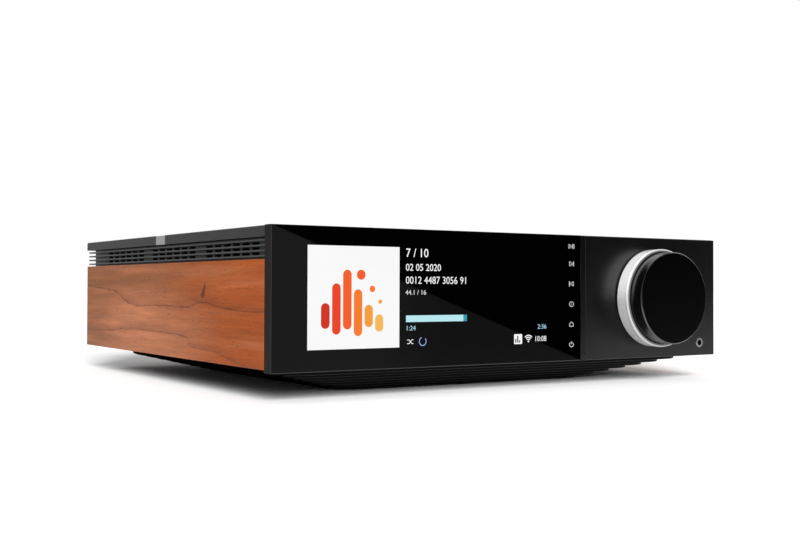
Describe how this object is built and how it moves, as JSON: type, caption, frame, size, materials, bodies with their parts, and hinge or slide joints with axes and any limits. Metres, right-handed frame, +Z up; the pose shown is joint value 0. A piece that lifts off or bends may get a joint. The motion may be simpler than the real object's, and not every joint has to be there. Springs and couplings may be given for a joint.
{
  "type": "network music streamer",
  "caption": "Low wide network music streamer and amplifier with a glass front display, seam push keys, a double rotary knob, wooden side panels, vent rails and a stepped base.",
  "frame": {"origin": "on the surface it stands on, in the middle of its whole width and depth", "axes": "+X to the right seen from the front, +Y to the back, +Z up"},
  "size_m": [0.317, 0.3452, 0.089],
  "materials": {
    "satin_black_metal": "fine satin black paint",
    "dark_anodised": "fine blasted dark anodising",
    "silver_band": "brushed along the band",
    "knurled_silver": "knurled and bright anodised",
    "black_knob": "satin black face, glossy side, bright chamfer",
    "black_glass": "polished, printed black behind",
    "display": "colour display",
    "walnut": "satin lacquered veneer, grain along the length",
    "base_black": "fine matt moulding",
    "rubber": "matt",
    "zinc_steel": "zinc plated sheet",
    "magnet_nickel": "nickel plated",
    "board_green": "solder mask",
    "black_plastic": "moulded",
    "key_black": "smooth",
    "gold_plate": "gold plated",
    "tinned_shell": "tinned",
    "bright_collar": "polished",
    "red_plastic": "clear red over metal",
    "ribbon_white": "flexible film",
    "lead_black": "insulation",
    "heat_sink_black": "black anodised"
  },
  "bodies": {
    "chassis": {"stepped_base": "base_black", "rubber_feet": "rubber", "chassis_tray": "zinc_steel", "top_cover": "dark_anodised", "cover_band": "silver_band", "left_vent_rail": "dark_anodised", "right_vent_rail": "dark_anodised", "fascia_frame": "dark_anodised", "front_glass": "black_glass", "display_module": "display", "display_bracket": "zinc_steel", "control_plate": "satin_black_metal", "key_board": "board_green", "encoder_housing": "black_plastic", "encoder_nut": "zinc_steel", "headphone_socket": "black_plastic", "headphone_collar": "bright_collar", "rear_panel": "satin_black_metal", "network_socket": "tinned_shell", "usb_socket": "tinned_shell", "hdmi_socket": "tinned_shell", "optical_socket": "black_plastic", "phono_sockets": "gold_plate", "antenna_sockets": "gold_plate", "terminal_plate": "black_plastic", "terminal_studs": "gold_plate", "mains_inlet": "black_plastic", "mains_switch": "black_plastic", "main_board": "board_green", "streaming_module": "tinned_shell", "amplifier_board": "board_green", "heat_sink": "heat_sink_black", "power_supply": "board_green", "standoffs": "zinc_steel", "screws": "zinc_steel", "display_ribbon": "ribbon_white", "internal_leads": "lead_black"},
    "left_panel": {"left_side_panel": "walnut", "left_panel_magnets": "magnet_nickel"},
    "right_panel": {"right_side_panel": "walnut", "right_panel_magnets": "magnet_nickel"},
    "volume": {"volume_ring": "knurled_silver", "volume_shaft": "magnet_nickel"},
    "source": {"source_knob": "black_knob", "source_shaft": "magnet_nickel"},
    "rocker": {"switch_rocker": "black_plastic"},
    "play_key": {"play_key": "key_black"},
    "next_key": {"next_key": "key_black"},
    "previous_key": {"previous_key": "key_black"},
    "info_key": {"info_key": "key_black"},
    "home_key": {"home_key": "key_black"},
    "power_key": {"power_key": "key_black"},
    "right_positive_washer": {"right_positive_washer": "gold_plate"},
    "right_positive_cap": {"right_positive_cap": "red_plastic"},
    "right_negative_washer": {"right_negative_washer": "gold_plate"},
    "right_negative_cap": {"right_negative_cap": "black_plastic"},
    "left_positive_washer": {"left_positive_washer": "gold_plate"},
    "left_positive_cap": {"left_positive_cap": "red_plastic"},
    "left_negative_washer": {"left_negative_washer": "gold_plate"},
    "left_negative_cap": {"left_negative_cap": "black_plastic"}
  },
  "joints": [
    {"name": "volume_turn", "type": "hinge", "parent": "chassis", "child": "volume", "pos_m": [0.1016, -0.153, 0.052], "axis": [0, 1, 0], "continuous": true},
    {"name": "source_turn", "type": "hinge", "parent": "chassis", "child": "source", "pos_m": [0.1016, -0.168, 0.052], "axis": [0, 1, 0], "continuous": true},
    {"name": "rocker_tip", "type": "hinge", "parent": "chassis", "child": "rocker", "pos_m": [-0.125, 0.1365, 0.063], "axis": [1, 0, 0], "range_deg": [-18, 0]},
    {"name": "left_panel_pull", "type": "slide", "parent": "chassis", "child": "left_panel", "axis": [-1, 0, 0], "range_m": [0, 0.012]},
    {"name": "right_panel_pull", "type": "slide", "parent": "chassis", "child": "right_panel", "axis": [1, 0, 0], "range_m": [0, 0.012]},
    {"name": "play_press", "type": "slide", "parent": "chassis", "child": "play_key", "axis": [0, 1, 0], "range_m": [0, 0.0006], "stiffness_N_per_m": 300, "springref_m": -0.001},
    {"name": "next_press", "type": "slide", "parent": "chassis", "child": "next_key", "axis": [0, 1, 0], "range_m": [0, 0.0006], "stiffness_N_per_m": 300, "springref_m": -0.001},
    {"name": "previous_press", "type": "slide", "parent": "chassis", "child": "previous_key", "axis": [0, 1, 0], "range_m": [0, 0.0006], "stiffness_N_per_m": 300, "springref_m": -0.001},
    {"name": "info_press", "type": "slide", "parent": "chassis", "child": "info_key", "axis": [0, 1, 0], "range_m": [0, 0.0006], "stiffness_N_per_m": 300, "springref_m": -0.001},
    {"name": "home_press", "type": "slide", "parent": "chassis", "child": "home_key", "axis": [0, 1, 0], "range_m": [0, 0.0006], "stiffness_N_per_m": 300, "springref_m": -0.001},
    {"name": "power_press", "type": "slide", "parent": "chassis", "child": "power_key", "axis": [0, 1, 0], "range_m": [0, 0.0006], "stiffness_N_per_m": 300, "springref_m": -0.001},
    {"name": "right_positive_turn", "type": "hinge", "parent": "right_positive_washer", "child": "right_positive_cap", "pos_m": [-0.092, 0.1586, 0.038], "axis": [0, 1, 0], "range_deg": [0, 1081]},
    {"name": "right_positive_clamp", "type": "slide", "parent": "chassis", "child": "right_positive_washer", "axis": [0, 1, 0], "range_m": [0, 0.003]},
    {"name": "right_negative_turn", "type": "hinge", "parent": "right_negative_washer", "child": "right_negative_cap", "pos_m": [-0.072, 0.1586, 0.038], "axis": [0, 1, 0], "range_deg": [0, 1081]},
    {"name": "right_negative_clamp", "type": "slide", "parent": "chassis", "child": "right_negative_washer", "axis": [0, 1, 0], "range_m": [0, 0.003]},
    {"name": "left_positive_turn", "type": "hinge", "parent": "left_positive_washer", "child": "left_positive_cap", "pos_m": [-0.042, 0.1586, 0.038], "axis": [0, 1, 0], "range_deg": [0, 1081]},
    {"name": "left_positive_clamp", "type": "slide", "parent": "chassis", "child": "left_positive_washer", "axis": [0, 1, 0], "range_m": [0, 0.003]},
    {"name": "left_negative_turn", "type": "hinge", "parent": "left_negative_washer", "child": "left_negative_cap", "pos_m": [-0.022, 0.1586, 0.038], "axis": [0, 1, 0], "range_deg": [0, 1081]},
    {"name": "left_negative_clamp", "type": "slide", "parent": "chassis", "child": "left_negative_washer", "axis": [0, 1, 0], "range_m": [0, 0.003]}
  ],
  "couplings": [
    {"joint": "right_positive_turn", "follows": "right_positive_clamp", "rad_per_m": 6283.2},
    {"joint": "right_negative_turn", "follows": "right_negative_clamp", "rad_per_m": 6283.2},
    {"joint": "left_positive_turn", "follows": "left_positive_clamp", "rad_per_m": 6283.2},
    {"joint": "left_negative_turn", "follows": "left_negative_clamp", "rad_per_m": 6283.2}
  ]
}
